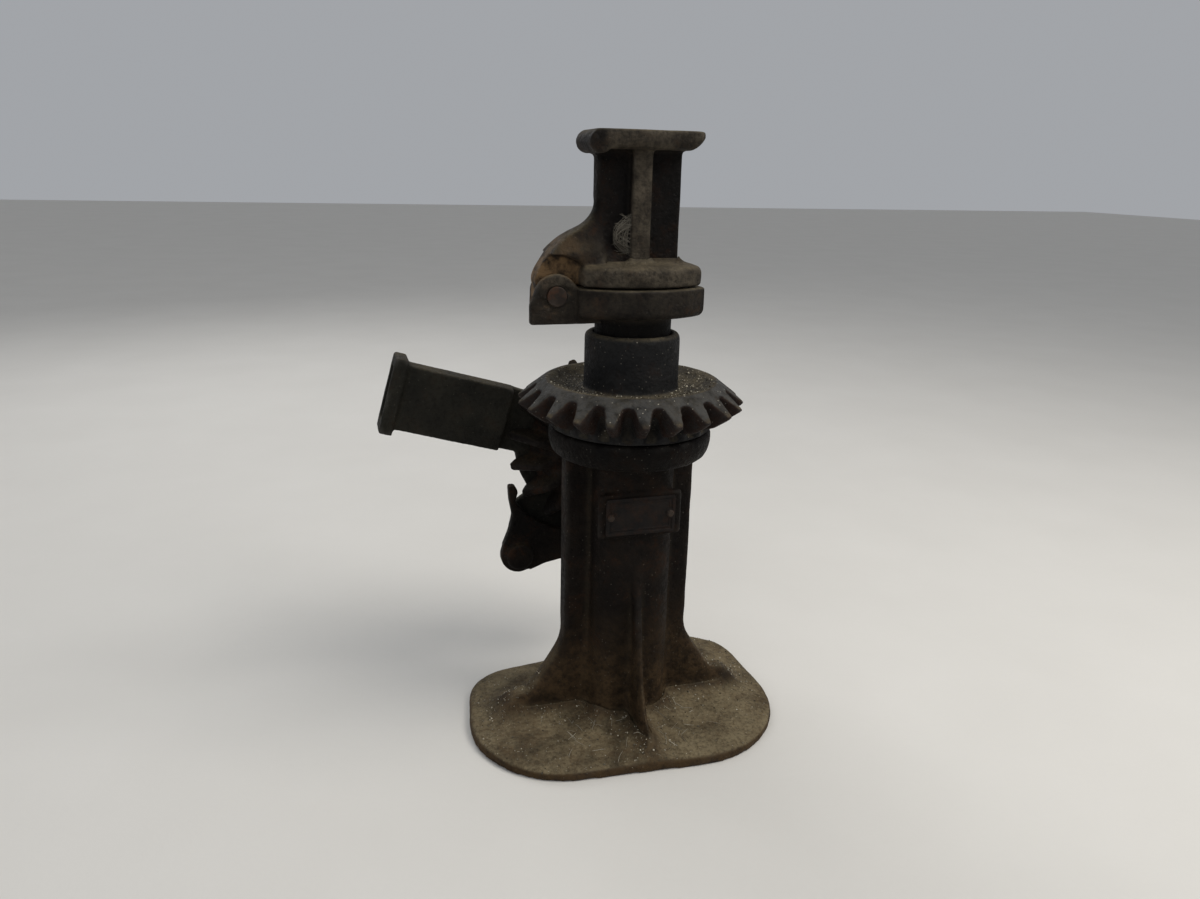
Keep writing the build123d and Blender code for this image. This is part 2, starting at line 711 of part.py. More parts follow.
with BuildPart(Plane(origin=(0, 0, APEX_Z), x_dir=(1, 0, 0), z_dir=(0, 1, 0))) as bevel_pinion:
    with BuildSketch(Plane.YZ):
        with BuildLine():
            Polyline(
                (WHEEL_FRONT, APEX_Z + STUD_R + FIT),
                (WHEEL_FRONT, APEX_Z + 13.5),
                (WHEEL_TOE, APEX_Z + 13.5),
                (WHEEL_TOE, APEX_Z + WHEEL_TOE * WHEEL_FACE_RISE),
                (WHEEL_TIP_Y, APEX_Z + WHEEL_TIP_R),
                (WHEEL_RIM_BACK, APEX_Z + BACK_CONE_R),
                (WHEEL_RIM_BACK, APEX_Z + 13.5),
                (WHEEL_BACK, APEX_Z + 13.5),
                (WHEEL_BACK, APEX_Z + STUD_R + FIT),
                close=True,
            )
        make_face()
    revolve(axis=WHEEL_AXIS)
    half_pitch = 180 / WHEEL_TEETH
    with PolarLocations(0, WHEEL_TEETH, start_angle=half_pitch + WHEEL_TURN):
        add(wheel_gap.moved(Location((0, 0, -APEX_Z))).rotate(Axis.X, 90), mode=Mode.SUBTRACT)
bevel_pinion.part.label = "bevel_pinion"
export_step(bevel_pinion.part, "parts/bevel_pinion.step")


# ---- ratchet lever: socket, web, hub and hanging arm ----

ARM_TURN = WHEEL_TURN - 90
FOOT_DROP = 73.0
PAWL_PIVOT = (PAWL_DROP, 0)
ARM_HALF = 8.0
ARM_THICKNESS = 6.0
DETENT_BORE_R = 3.05
DETENT_BORE_DEPTH = 11.0
LEVER_TILT = radians(LEVER_ANGLE)

with BuildPart() as lever_socket:
    with BuildSketch(rear_plane(SOCKET_FRONT, LEVER_ANGLE, APEX_Z)):
        with Locations(((SOCKET_START + SOCKET_END) / 2, SOCKET_OFFSET)):
            Rectangle(SOCKET_END - SOCKET_START, SOCKET_HEIGHT)
    extrude(amount=SOCKET_DEPTH)
    with BuildSketch(rear_plane(SOCKET_FRONT - 2.2, LEVER_ANGLE, APEX_Z)):
        with Locations((SOCKET_END - BEAD_LENGTH / 2, SOCKET_OFFSET)):
            Rectangle(BEAD_LENGTH, SOCKET_HEIGHT + 2 * BEAD_STEP)
    extrude(amount=SOCKET_DEPTH + 4.4)
    # web behind the wheel, from the socket to the hub
    with BuildSketch(rear_plane(LEVER_FRONT, LEVER_ANGLE, APEX_Z)):
        with BuildLine():
            Polyline(
                (0, -LEVER_HUB_R + 2),
                (SOCKET_START + 4, SOCKET_OFFSET - SOCKET_HEIGHT / 2),
                (SOCKET_START + 4, SOCKET_OFFSET + SOCKET_HEIGHT / 2),
                (0, LEVER_HUB_R - 2),
                close=True,
            )
        make_face()
    extrude(amount=SOCKET_FRONT + SOCKET_DEPTH - LEVER_FRONT)
    # round plate that backs the wheel
    with BuildSketch(rear_plane(LEVER_FRONT, z=APEX_Z)):
        Circle(LEVER_DISC_R)
    extrude(amount=LEVER_DISC_THICKNESS)
    # guard sector between the wheel and the pawl
    with BuildSketch(rear_plane(LEVER_FRONT, ARM_TURN, APEX_Z)):
        with BuildLine():
            guard_arc = CenterArc((0, 0), GUARD_R, -GUARD_HALF_ANGLE, 2 * GUARD_HALF_ANGLE)
            Polyline(guard_arc @ 1, (0, 0), guard_arc @ 0)
        make_face()
    extrude(amount=LEVER_DISC_THICKNESS)
    # hanging arm
    with BuildSketch(rear_plane(LEVER_FRONT, ARM_TURN, APEX_Z)):
        with BuildLine():
            Polyline(
                (0, -LEVER_HUB_R + 3),
                (PAWL_DROP, -ARM_HALF),
                (FOOT_DROP + 11, 1 - ARM_HALF),
                (FOOT_DROP + 11, ARM_HALF - 1),
                (PAWL_DROP, ARM_HALF),
                (0, LEVER_HUB_R - 3),
                close=True,
            )
        make_face()
    extrude(amount=ARM_THICKNESS)
    # pivot boss and the foot that holds the detent
    with BuildSketch(rear_plane(PAWL_FRONT + PAWL_THICKNESS + FIT, ARM_TURN, APEX_Z)):
        with Locations(PAWL_PIVOT):
            Circle(PIVOT_BOSS_R)
    extrude(amount=LEVER_FRONT - PAWL_FRONT - PAWL_THICKNESS)
    with BuildSketch(rear_plane(PAWL_FRONT - 1, ARM_TURN, APEX_Z)):
        with Locations((FOOT_DROP + 4.5, 0)):
            Rectangle(13, 12)
    extrude(amount=LEVER_FRONT - PAWL_FRONT + 2)
    # hub
    with BuildSketch(rear_plane(WHEEL_BACK + 0.1, z=APEX_Z)):
        Circle(LEVER_HUB_R)
    extrude(amount=LEVER_HUB_BACK - WHEEL_BACK - 0.1)
    with BuildSketch(rear_plane(SOCKET_FRONT, z=APEX_Z)):
        Circle(STUD_R + FIT)
    extrude(amount=LEVER_HUB_BACK, mode=Mode.SUBTRACT)
    # rectangular slot for the handle bar
    mouth = (
        -SOCKET_END * cos(LEVER_TILT) + SOCKET_OFFSET * sin(LEVER_TILT),
        SOCKET_FRONT + SOCKET_DEPTH / 2,
        APEX_Z + SOCKET_END * sin(LEVER_TILT) + SOCKET_OFFSET * cos(LEVER_TILT),
    )
    mouth_dir = (-cos(LEVER_TILT), 0, sin(LEVER_TILT))
    with BuildSketch(Plane(origin=mouth, x_dir=(0, 1, 0), z_dir=mouth_dir)):
        Rectangle(SLOT_WIDTH, SLOT_HEIGHT)
    extrude(amount=-SLOT_LENGTH, mode=Mode.SUBTRACT)
    # pawl pin hole and detent bore
    with BuildSketch(rear_plane(PAWL_FRONT, ARM_TURN, APEX_Z)):
        with Locations(PAWL_PIVOT):
            Circle(PAWL_PIN_R)
    extrude(amount=LEVER_HUB_BACK - PAWL_FRONT, mode=Mode.SUBTRACT)
    down = radians(ARM_TURN)
    arm_dir = Vector(-cos(down), 0, sin(down))
    detent_top = Vector(0, PAWL_FRONT + PAWL_THICKNESS / 2, APEX_Z) + arm_dir * (FOOT_DROP - 2)
    with BuildSketch(Plane(origin=detent_top, z_dir=arm_dir)):
        Circle(DETENT_BORE_R)
    extrude(amount=DETENT_BORE_DEPTH, mode=Mode.SUBTRACT)
lever_socket.part.label = "lever_socket"
export_step(lever_socket.part, "parts/lever_socket.step")


# ---- double pawl, its pin and its detent ----

FINGER = 3 * 360 / WHEEL_TEETH
FINGER_TIP_R = WHEEL_TIP_R + 0.95


def polar(radius, angle):
    """Point in the arm's own plane, at this radius from the shaft and this angle from the arm."""
    return (radius * cos(radians(angle)), radius * sin(radians(angle)))


with BuildPart() as pawl:
    with BuildSketch(rear_plane(PAWL_FRONT, ARM_TURN, APEX_Z)):
        for side in (-1, 1):
            with BuildLine():
                Polyline(
                    (PAWL_DROP + 8, 0),
                    (66.8, side * 4),
                    (68.0, side * 16),
                    (70.3, side * 25.5),
                    (LOBE_DROP + 9.4, side * (LOBE_SIDE - 7)),
                    (LOBE_DROP, side * (LOBE_SIDE + LOBE_R - 1)),
                    (59.0, side * 50.6),
                    (50.5, side * 47.8),
                    (41.0, side * 46.4),
                    (32.0, side * 48.6),
                    polar(FINGER_TIP_R + 3.5, side * (FINGER + 1)),
                    polar(FINGER_TIP_R, side * (FINGER - 0.8)),
                    polar(FINGER_TIP_R, side * (FINGER - 5.4)),
                    polar(56.2, side * (FINGER - 10)),
                    polar(55.8, side * 40),
                    polar(54.2, side * 24),
                    polar(52.8, side * 10),
                    polar(52.4, 0),
                    close=True,
                )
            make_face()
            with Locations((LOBE_DROP, side * LOBE_SIDE)):
                Circle(LOBE_R)
        with Locations(PAWL_PIVOT):
            Circle(PIVOT_BOSS_R)
    extrude(amount=PAWL_THICKNESS)
    # thumb bosses on both lobes
    with BuildSketch(rear_plane(PAWL_FRONT - 3.5, ARM_TURN, APEX_Z)):
        with Locations((LOBE_DROP, LOBE_SIDE), (LOBE_DROP, -LOBE_SIDE)):
            Circle(THUMB_R)
    extrude(amount=4)
    with BuildSketch(rear_plane(PAWL_FRONT, ARM_TURN, APEX_Z)):
        with Locations(PAWL_PIVOT):
            Circle(PAWL_PIN_R + FIT)
    extrude(amount=PAWL_THICKNESS, mode=Mode.SUBTRACT)
pawl.part.label = "pawl"
export_step(pawl.part, "parts/pawl.step")

with BuildPart() as pawl_pin:
    with BuildSketch(rear_plane(PAWL_FRONT - FIT, ARM_TURN, APEX_Z)):
        with Locations(PAWL_PIVOT):
            Circle(PAWL_PIN_R)
    extrude(amount=LEVER_FRONT + 7 - PAWL_FRONT)
    with BuildSketch(rear_plane(PAWL_FRONT - 2 - FIT, ARM_TURN, APEX_Z)):
        with Locations(PAWL_PIVOT):
            Circle(5.0)
    extrude(amount=2)
    chamfer(pawl_pin.edges().group_by(Axis.Y)[0], 0.8)
pawl_pin.part.label = "pawl_pin"
export_step(pawl_pin.part, "parts/pawl_pin.step")

with BuildPart() as detent_plunger:
    with BuildSketch(Plane(origin=detent_top - arm_dir * 3.8, z_dir=arm_dir)):
        Circle(DETENT_BORE_R - FIT)
    extrude(amount=7)
detent_plunger.part.label = "detent_plunger"
export_step(detent_plunger.part, "parts/detent_plunger.step")

SPRING_TOP = detent_top + arm_dir * 3.7
with BuildPart() as detent_spring:
    with BuildLine():
        coil = Helix(pitch=1.8, height=6.6, radius=2.2, center=SPRING_TOP, direction=arm_dir)
    with BuildSketch(Plane(origin=coil @ 0, z_dir=coil % 0)):
        Circle(0.4)
    sweep(is_frenet=True)
detent_spring.part.label = "detent_spring"
export_step(detent_spring.part, "parts/detent_spring.step")
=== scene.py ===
import json
import math

import bmesh
import bpy
import numpy as np
from mathutils import Matrix, Vector
from mathutils.bvhtree import BVHTree


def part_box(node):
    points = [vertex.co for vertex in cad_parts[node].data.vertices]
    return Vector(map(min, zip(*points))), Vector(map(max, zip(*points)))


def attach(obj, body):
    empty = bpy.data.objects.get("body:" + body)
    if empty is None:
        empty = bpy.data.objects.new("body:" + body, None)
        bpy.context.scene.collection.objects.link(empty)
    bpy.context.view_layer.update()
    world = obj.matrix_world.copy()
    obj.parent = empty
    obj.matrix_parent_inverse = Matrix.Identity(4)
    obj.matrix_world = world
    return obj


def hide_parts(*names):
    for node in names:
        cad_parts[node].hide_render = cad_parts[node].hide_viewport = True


# Looks of the bevel-gear ratchet screw jack. Metres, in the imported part's own frame.
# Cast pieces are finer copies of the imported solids, with rounded edges, casting grain, dust and rust.

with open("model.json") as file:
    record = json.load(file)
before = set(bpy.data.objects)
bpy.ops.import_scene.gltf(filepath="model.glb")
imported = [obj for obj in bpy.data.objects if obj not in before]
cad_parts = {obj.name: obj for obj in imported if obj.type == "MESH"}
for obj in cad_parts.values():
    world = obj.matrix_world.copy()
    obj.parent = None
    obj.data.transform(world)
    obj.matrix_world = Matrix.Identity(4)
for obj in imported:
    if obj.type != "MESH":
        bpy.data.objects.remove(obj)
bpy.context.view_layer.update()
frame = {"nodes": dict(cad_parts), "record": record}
MM = 0.001
INSIDE = 1e-6  # how far the finer pieces stay inside their node's box
scene = bpy.context.scene


# ---- camera and light ----

CAMERA_DISTANCE = 0.42821
CAMERA_HEIGHT = 0.28140
CAMERA_AZIMUTH = 18.513
CAMERA_PAN = -1.890
CAMERA_PITCH = 17.531
CAMERA_ROLL = 1.3934
CAMERA_LENS = 27.0
MIDDLE = Vector((0, 0, 0.15))


def add_camera():
    """Camera at the front left, a little below the jack's top, looking down and slightly rolled."""
    azimuth = math.radians(CAMERA_AZIMUTH)
    place = Vector((-math.sin(azimuth), -math.cos(azimuth), 0)) * CAMERA_DISTANCE
    place.z = CAMERA_HEIGHT
    turn = Matrix.Rotation(-math.radians(CAMERA_AZIMUTH + CAMERA_PAN), 4, "Z")
    tilt = Matrix.Rotation(math.radians(90 - CAMERA_PITCH), 4, "X")
    roll = Matrix.Rotation(math.radians(CAMERA_ROLL), 4, "Z")
    data = bpy.data.cameras.new("camera")
    data.lens = CAMERA_LENS
    data.sensor_width = 36.0
    data.clip_start = 0.01
    camera = bpy.data.objects.new("camera", data)
    scene.collection.objects.link(camera)
    camera.matrix_world = Matrix.Translation(place) @ turn @ tilt @ roll
    scene.camera = camera


def add_light(name, place, size, power, colour):
    """Soft square lamp that faces the middle of the jack."""
    data = bpy.data.lights.new(name, "AREA")
    data.size = size
    data.energy = power
    data.color = colour
    lamp = bpy.data.objects.new(name, data)
    scene.collection.objects.link(lamp)
    lamp.location = place
    aim = MIDDLE - Vector(place)
    lamp.rotation_euler = aim.to_track_quat("-Z", "Y").to_euler()


def add_world():
    """Even, slightly blue light from all round."""
    world = bpy.data.worlds.new("studio")
    world.use_nodes = True
    background = world.node_tree.nodes["Background"]
    background.inputs["Color"].default_value = (0.86, 0.89, 0.94, 1)
    background.inputs["Strength"].default_value = 0.42
    scene.world = world


add_camera()
add_light("key", (0.55, -0.35, 0.95), 0.55, 7.5, (1.0, 0.97, 0.92))
add_light("fill", (-0.9, -0.9, 0.7), 0.9, 2.6, (0.93, 0.96, 1.0))
add_light("rim", (-0.3, 0.9, 0.9), 0.7, 4.0, (1.0, 1.0, 1.0))
add_world()
scene.view_settings.view_transform = "Standard"
scene.view_settings.look = "None"


# ---- small node-tree helper ----


class Tree:
    """Builds a material's nodes with short calls. Values may be numbers, colours or sockets."""

    def __init__(self, name):
        self.material = bpy.data.materials.new(name)
        self.material.use_nodes = True
        self.tree = self.material.node_tree
        self.shader = self.tree.nodes["Principled BSDF"]
        self.place = self.make("ShaderNodeTexCoord").outputs["Object"]

    def make(self, kind, **settings):
        node = self.tree.nodes.new(kind)
        for key, value in settings.items():
            setattr(node, key, value)
        return node

    def set(self, socket, value):
        if isinstance(value, bpy.types.NodeSocket):
            self.tree.links.new(value, socket)
        elif isinstance(value, tuple):
            socket.default_value = (*value, 1.0)[: len(socket.default_value)]
        else:
            socket.default_value = value

    def math(self, operation, a, b, clamp=False):
        node = self.make("ShaderNodeMath", operation=operation, use_clamp=clamp)
        self.set(node.inputs[0], a)
        self.set(node.inputs[1], b)
        return node.outputs[0]

    def attribute(self, name):
        return self.make("ShaderNodeAttribute", attribute_name=name).outputs["Fac"]

    def noise(self, scale, detail=3.0, rough=0.55, stretch=None):
        node = self.make("ShaderNodeTexNoise")
        where = self.place
        if stretch:
            mapping = self.make("ShaderNodeMapping")
            self.set(mapping.inputs["Vector"], where)
            self.set(mapping.inputs["Scale"], stretch)
            where = mapping.outputs["Vector"]
        self.set(node.inputs["Vector"], where)
        self.set(node.inputs["Scale"], scale)
        self.set(node.inputs["Detail"], detail)
        self.set(node.inputs["Roughness"], rough)
        return node.outputs["Fac"]

    def cells(self, scale):
        """(distance to the nearest point, that point's random value) of scattered points."""
        node = self.make("ShaderNodeTexVoronoi")
        self.set(node.inputs["Vector"], self.place)
        self.set(node.inputs["Scale"], scale)
        split = self.make("ShaderNodeSeparateColor")
        self.set(split.inputs[0], node.outputs["Color"])
        return node.outputs["Distance"], split.outputs[0]

    def ramp(self, value, low, high, to_low=0.0, to_high=1.0):
        """Smooth step of value from low to high."""
        node = self.make("ShaderNodeMapRange", interpolation_type="SMOOTHSTEP")
        self.set(node.inputs["Value"], value)
        self.set(node.inputs["From Min"], low)
        self.set(node.inputs["From Max"], high)
        self.set(node.inputs["To Min"], to_low)
        self.set(node.inputs["To Max"], to_high)
        return node.outputs["Result"]

    def mix(self, factor, a, b):
        node = self.make("ShaderNodeMix", data_type="RGBA")
        self.set(node.inputs["Factor"], factor)
        colours = [s for s in node.inputs if s.type == "RGBA"]
        self.set(colours[0], a)
        self.set(colours[1], b)
        return [s for s in node.outputs if s.type == "RGBA"][0]

    def bump(self, height, distance):
        node = self.make("ShaderNodeBump")
        self.set(node.inputs["Height"], height)
        self.set(node.inputs["Distance"], distance)
        self.set(self.shader.inputs["Normal"], node.outputs["Normal"])

    def finish(self, colour, roughness, metallic=0.0, specular=0.4):
        self.set(self.shader.inputs["Base Color"], colour)
        self.set(self.shader.inputs["Roughness"], roughness)
        self.set(self.shader.inputs["Metallic"], metallic)
        self.set(self.shader.inputs["Specular IOR Level"], specular)
        return self.material


# ---- materials ----

DUST = (0.235, 0.190, 0.114)
RUST = (0.060, 0.024, 0.010)
SPECK = (0.40, 0.37, 0.30)
BARE = (0.060, 0.056, 0.050)
PORE = (0.004, 0.0035, 0.003)
# Near-black colour of painted shade.
PAINTED_SHADE = (0.0014, 0.0012, 0.0011)
SOIL = (0.05, 0.04, 0.028)
FOOT_DUST = (0.070, 0.044, 0.022)


def cast_iron(name, dark, light, dust=0.8, rust=0.3, wear=0.5, specks=0.5, zone=RUST, tint_and_painted_light=FOOT_DUST):
    """Old cast iron: mottled dark skin, dust on what faces up, rust blooms, worn edges and grit, with
    painted shade, and painted light on the head.

    The point attributes come from paint(): up, hollow, edge and zone, a tint that is brown dust on the
    stand, brown flanks on the gear and painted light on the head, and painted shade.
    """
    gloss = 0.5
    t = Tree(name)
    broad = t.noise(38, 4, 0.6)
    fine = t.noise(420, 4, 0.65)
    grit = t.noise(1500, 3, 0.7)
    skin = t.mix(t.ramp(broad, 0.36, 0.68), dark, light)
    skin = t.mix(t.math("MULTIPLY", t.ramp(fine, 0.45, 0.75), 0.45), skin, PORE)
    bloom = t.math("MULTIPLY", t.ramp(t.noise(75, 5, 0.7), 0.50, 0.66), t.ramp(fine, 0.35, 0.6))
    skin = t.mix(t.math("MULTIPLY", bloom, rust), skin, RUST)
    # Tint: brown dust low on the stand, brown tooth flanks on the gear, and painted light on the head's
    # proud faces.
    tint_and_light_mask = t.math("MULTIPLY", t.attribute("tint_and_painted_light"), t.ramp(t.noise(90, 5, 0.65), 0.30, 0.66, 0.25, 1.0))
    tint_and_light_mask = t.math("MULTIPLY", tint_and_light_mask, t.ramp(fine, 0.32, 0.60, 0.45, 1.0))
    skin = t.mix(tint_and_light_mask, skin, tint_and_painted_light)
    # Painted shade: near black where paint() marked recesses and parts that lie under other parts.
    skin = t.mix(t.attribute("painted_shade"), skin, PAINTED_SHADE)
    patch = t.math("MULTIPLY", t.attribute("zone"), t.ramp(t.noise(160, 4, 0.6), 0.30, 0.60))
    skin = t.mix(t.math("MULTIPLY", patch, 0.9), skin, zone)
    worn = t.math("MULTIPLY", t.attribute("edge"), t.ramp(t.noise(110, 3), 0.38, 0.62))
    skin = t.mix(t.math("MULTIPLY", worn, wear), skin, BARE)
    lying = t.ramp(t.attribute("up"), 0.25, 0.95)
    settled = t.math("MULTIPLY", lying, t.ramp(t.noise(48, 5, 0.7), 0.30, 0.68, 0.22, 1.0))
    settled = t.math("ADD", settled, t.math("MULTIPLY", t.attribute("hollow"), 0.08), clamp=True)
    bare = t.math("SUBTRACT", 1.0, t.math("MULTIPLY", t.attribute("zone"), 0.75))
    settled = t.math("MULTIPLY", settled, bare)
    settled = t.math("MULTIPLY", settled, t.ramp(t.noise(600, 4, 0.7), 0.30, 0.60, 0.35, 1.0))
    skin = t.mix(t.math("MULTIPLY", settled, dust), skin, DUST)
    distance, chance = t.cells(620)
    near = t.ramp(distance, 0.10, 0.22, 1.0, 0.0)
    some = t.math("MULTIPLY", near, t.ramp(chance, 0.80, 0.84))
    held = t.math("ADD", t.math("MULTIPLY", lying, 0.9), 0.28, clamp=True)
    skin = t.mix(t.math("MULTIPLY", t.math("MULTIPLY", some, held), specks), skin, SPECK)
    matt = t.ramp(fine, 0.3, 0.7, gloss, gloss + 0.22)
    rough = t.math("ADD", matt, t.math("MULTIPLY", settled, 0.25), clamp=True)
    pits = t.ramp(t.cells(330)[0], 0.0, 0.45)
    height = t.math("ADD", fine, t.math("MULTIPLY", grit, 0.5))
    height = t.math("ADD", height, t.math("MULTIPLY", pits, 0.35))
    t.bump(height, 0.0007)
    return t.finish(skin, rough, specular=0.08)


def old_steel(name, dark, light, rust, gloss, metallic):
    """Turned or drawn steel gone brown, with fine scratches and rust."""
    t = Tree(name)
    broad = t.noise(120, 4, 0.6)
    scratch = t.noise(900, 3, 0.6, stretch=(1, 1, 6))
    skin = t.mix(t.ramp(broad, 0.35, 0.65), dark, light)
    bloom = t.math("MULTIPLY", t.ramp(t.noise(210, 5, 0.7), 0.47, 0.62), rust)
    skin = t.mix(bloom, skin, RUST)
    rough = t.math("ADD", t.ramp(scratch, 0.3, 0.7, gloss, gloss + 0.2), t.math("MULTIPLY", bloom, 0.3))
    t.bump(t.math("ADD", scratch, t.math("MULTIPLY", broad, 0.6)), 0.00015)
    metal = t.math("MULTIPLY", t.math("SUBTRACT", 1.0, bloom), metallic)
    return t.finish(skin, rough, metal, specular=0.2)


def loose_dirt(name, dark, light):
    """Grains and bits, each with its own tone."""
    t = Tree(name)
    skin = t.mix(t.attribute("tone"), dark, light)
    skin = t.mix(t.ramp(t.noise(2500, 2), 0.35, 0.7, 0.0, 0.4), skin, SOIL)
    t.bump(t.noise(4000, 2), 0.0001)
    return t.finish(skin, 0.9, specular=0.2)


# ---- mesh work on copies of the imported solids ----

WAVE_SIZE = 14 * MM
GRAIN_SIZE = 3.2 * MM
GRAIN_SHARE = 0.55


def mesh_arrays(mesh):
    """The mesh's points and the two ends of each edge."""
    co = np.empty(len(mesh.vertices) * 3, np.float32)
    mesh.vertices.foreach_get("co", co)
    edges = np.empty(len(mesh.edges) * 2, np.int32)
    mesh.edges.foreach_get("vertices", edges)
    return co.reshape(-1, 3).astype(np.float64), edges.reshape(-1, 2)


def neighbour_mean(values, edges, count):
    """Mean of each vertex's neighbours' values."""
    ends = np.concatenate((edges[:, 0], edges[:, 1]))
    others = np.concatenate((edges[:, 1], edges[:, 0]))
    degree = np.maximum(np.bincount(ends, minlength=count), 1)
    if values.ndim == 1:
        return np.bincount(ends, values[others], count) / degree
    columns = [np.bincount(ends, values[others, k], count) / degree for k in range(values.shape[1])]
    return np.stack(columns, 1)


def normals(mesh):
    """The normal at each point."""
    n = np.empty(len(mesh.vertices) * 3, np.float32)
    mesh.vertex_normals.foreach_get("vector", n)
    return n.reshape(-1, 3).astype(np.float64)


def step(x, low, high):
    """Smooth step from 0 at low to 1 at high."""
    t = np.clip((x - low) / (high - low), 0, 1)
    return t * t * (3 - 2 * t)


def lumps(co, size, seed):
    """Smooth noise from about -1 to 1: a sum of sine waves in many directions, about this size."""
    rng = np.random.RandomState(seed)
    total = np.zeros(len(co))
    waves = 14
    for _ in range(waves):
        way = rng.normal(size=3)
        way /= np.linalg.norm(way)
        stretch = rng.uniform(0.6, 1.7)
        total += np.sin(co @ way * (2 * math.pi * stretch / size) + rng.uniform(0, 2 * math.pi))
    return total / math.sqrt(waves)


def add_displace(piece, name, size, depth):
    """Cloudy unevenness of about this size and depth."""
    texture = bpy.data.textures.new(piece.name + "_" + name, "CLOUDS")
    texture.noise_scale = size
    push = piece.modifiers.new(name, "DISPLACE")
    push.texture = texture
    push.strength = depth
    push.mid_level = 0.5
    push.texture_coords = "LOCAL"


def cast_copy(node, body, voxel, rounds, waviness, soften=None, carve=None):
    """Piece that stands for a packed casting: evened out, edges rounded, surface made uneven."""
    source = frame["nodes"][node]
    piece = bpy.data.objects.new("cast_" + node, source.data.copy())
    scene.collection.objects.link(piece)
    remesh = piece.modifiers.new("even", "REMESH")
    remesh.mode = "VOXEL"
    remesh.voxel_size = voxel
    add_displace(piece, "wave", WAVE_SIZE, waviness)
    add_displace(piece, "grain", GRAIN_SIZE, waviness * GRAIN_SHARE)
    settle(piece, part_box(node), rounds, soften, carve)
    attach(piece, body)
    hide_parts(node)
    return piece


def settle(piece, box, rounds, soften, carve):
    """Applies the modifiers, rounds the edges, softens and carves, and keeps inside the box.

    soften is (weight of each point, times), and carve gives each point's move.
    """
    graph = bpy.context.evaluated_depsgraph_get()
    mesh = bpy.data.meshes.new_from_object(piece.evaluated_get(graph), depsgraph=graph)
    piece.modifiers.clear()
    piece.data = mesh
    co, edges = mesh_arrays(mesh)
    count = len(co)
    for _ in range(rounds):
        co += 0.5 * (neighbour_mean(co, edges, count) - co)
    if soften:
        where, times = soften
        weight = where(co)[:, None]
        for _ in range(times):
            co += 0.5 * weight * (neighbour_mean(co, edges, count) - co)
    mesh.vertices.foreach_set("co", co.astype(np.float32).ravel())
    mesh.update()
    if carve:
        co = co + carve(co, normals(mesh))
    low, high = box
    co = np.clip(co, np.array(low) + INSIDE, np.array(high) - INSIDE)
    mesh.vertices.foreach_set("co", co.astype(np.float32).ravel())
    mesh.shade_smooth()
    mesh.update()


def put(mesh, name, values):
    """Point attribute from values, kept between 0 and 1."""
    layer = mesh.attributes.new(name, "FLOAT", "POINT")
    layer.data.foreach_set("value", np.clip(values, 0, 1).astype(np.float32))


def paint(piece, zone=None, tint_and_painted_light=None, painted_shade=None, dustfall=None):
    """Point attributes for the materials: up, hollow, edge, zone, a tint (brown, and painted light on the
    head) and painted shade.
    """
    mesh = piece.data
    co, edges = mesh_arrays(mesh)
    n = normals(mesh)
    count = len(co)
    length = np.linalg.norm(co[edges[:, 0]] - co[edges[:, 1]], axis=1).mean()
    bend = ((neighbour_mean(co, edges, count) - co) * n).sum(1) / length
    for _ in range(4):
        bend = 0.5 * bend + 0.5 * neighbour_mean(bend, edges, count)
    put(mesh, "up", dustfall(co, n[:, 2]) if dustfall else n[:, 2])
    put(mesh, "hollow", step(bend, 0.015, 0.09))
    put(mesh, "edge", step(-bend, 0.03, 0.13))
    put(mesh, "zone", zone(co, n) if zone else np.zeros(count))
    put(mesh, "tint_and_painted_light", tint_and_painted_light(co, n) if tint_and_painted_light else np.zeros(count))
    # Painted shade mask.
    put(mesh, "painted_shade", painted_shade(co) if painted_shade else np.zeros(count))


# ---- stand ----

BARREL_HALF = 19.5 * MM
WEB_REACH = 62 * MM
WEB_HALF = 6.2 * MM
RIB_HALF = 2 * MM
RIB_FRONT = 52 * MM
RIB_BACK = 42 * MM
RIB_LAG = 1.5 * MM  # the base rises less to the thin ribs than to the column


def stand_soften(co):
    """The ribs' feet flow into the base, and the base's top stays plain."""
    z = co[:, 2]
    inside = step(74 * MM - np.abs(co[:, 0]), 0, 6 * MM) * step(57 * MM - np.abs(co[:, 1]), 0, 5 * MM)
    return step(z, 3.5 * MM, 5.5 * MM) * (1 - step(z, 30 * MM, 60 * MM)) * inside


def beside(x, y, half_x, half_y):
    """Distance from a rectangle round the lift axis, seen from above."""
    return np.hypot(np.maximum(np.abs(x) - half_x, 0), np.maximum(np.abs(y) - half_y, 0))


def column_distance(co):
    """Distance across the base from the column, its webs and its ribs."""
    x, y = co[:, 0], co[:, 1]
    barrel = beside(x, y, BARREL_HALF, BARREL_HALF)
    web = beside(x, y, WEB_REACH, WEB_HALF)
    past_ends = np.maximum(np.maximum(-y - RIB_FRONT, y - RIB_BACK), 0)
    rib = np.hypot(np.maximum(np.abs(x) - RIB_HALF, 0), past_ends)
    return np.minimum(np.minimum(barrel, web), rib + RIB_LAG)


def lifted(rise):
    """Moves straight up by rise."""
    return np.stack((np.zeros(len(rise)), np.zeros(len(rise)), rise), 1)


def stand_flow(co, n):
    """Base top swept up to the column, its webs and its ribs."""
    z = co[:, 2]
    top = step(n[:, 2], 0.3, 0.8) * step(z, 4.5 * MM, 6 * MM) * (1 - step(z, 12 * MM, 20 * MM))
    return lifted(5.0 * MM * np.exp(-column_distance(co) / (5.5 * MM)) * top)


def foot_dust(co, n):
    """More brown dust low on the column and its webs."""
    return 0.9 * (1 - step(co[:, 2], 14 * MM, 78 * MM))


def base_edge(co, n):
    """1 on the base plate's brown outer edge."""
    return (1 - step(co[:, 2], 4.4 * MM, 5.6 * MM)) * (1 - step(np.abs(n[:, 2]), 0.55, 0.85))


